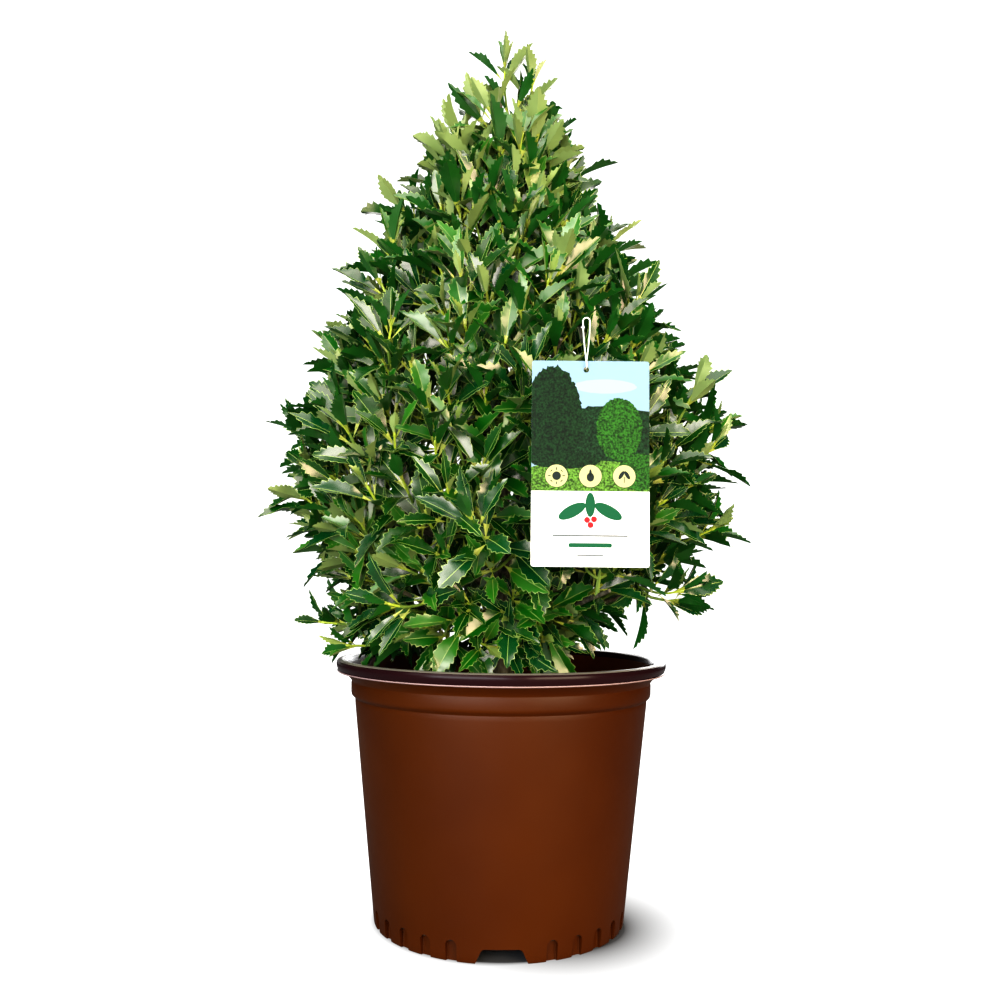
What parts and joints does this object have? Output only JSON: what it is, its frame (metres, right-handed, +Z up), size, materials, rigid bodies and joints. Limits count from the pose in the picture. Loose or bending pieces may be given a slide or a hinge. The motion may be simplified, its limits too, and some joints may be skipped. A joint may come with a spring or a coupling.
{
  "type": "potted holly",
  "caption": "Dense pyramidal evergreen holly with spiny leaves, growing in a round brown nursery pot with a rolled lip and a fluted foot, with a plain hang tag.",
  "frame": {"origin": "centre of the crown's and the pot's common box at the height of the pot's foot ring, on the pot's axis", "axes": "+Z up along the pot's axis, -Y towards the side that carries the hang tag, +X to the right of that side"},
  "size_m": [0.4251, 0.4221, 0.791],
  "materials": {
    "pot_plastic": "satin moulded, red-brown",
    "potting_mix": "loose bark and peat mix",
    "bark": "grey-brown bark",
    "young_wood": "green to grey young bark",
    "foliage": "glossy leathery leaves with pale margins",
    "tag_plastic": "white printed sheet"
  },
  "bodies": {
    "root": {"pot": "pot_plastic", "soil": "potting_mix", "trunk": "bark", "bough_low_1": "young_wood", "bough_low_2": "young_wood", "bough_low_3": "young_wood", "bough_low_4": "young_wood", "bough_low_5": "young_wood", "bough_lower_1": "young_wood", "bough_lower_2": "young_wood", "bough_lower_3": "young_wood", "bough_lower_4": "young_wood", "bough_lower_5": "young_wood", "bough_lower_6": "young_wood", "bough_middle_1": "young_wood", "bough_middle_2": "young_wood", "bough_middle_3": "young_wood", "bough_middle_4": "young_wood", "bough_middle_5": "young_wood", "bough_upper_1": "young_wood", "bough_upper_2": "young_wood", "bough_upper_3": "young_wood", "bough_upper_4": "young_wood", "bough_high_1": "young_wood", "bough_high_2": "young_wood", "bough_high_3": "young_wood", "foliage_low_1": "foliage", "foliage_low_2": "foliage", "foliage_low_3": "foliage", "foliage_low_4": "foliage", "foliage_low_5": "foliage", "foliage_lower_1": "foliage", "foliage_lower_2": "foliage", "foliage_lower_3": "foliage", "foliage_lower_4": "foliage", "foliage_lower_5": "foliage", "foliage_lower_6": "foliage", "foliage_middle_1": "foliage", "foliage_middle_2": "foliage", "foliage_middle_3": "foliage", "foliage_middle_4": "foliage", "foliage_middle_5": "foliage", "foliage_upper_1": "foliage", "foliage_upper_2": "foliage", "foliage_upper_3": "foliage", "foliage_upper_4": "foliage", "foliage_high_1": "foliage", "foliage_high_2": "foliage", "foliage_high_3": "foliage", "foliage_top": "foliage", "tag": "tag_plastic", "tag_loop": "tag_plastic"}
  },
  "joints": []
}
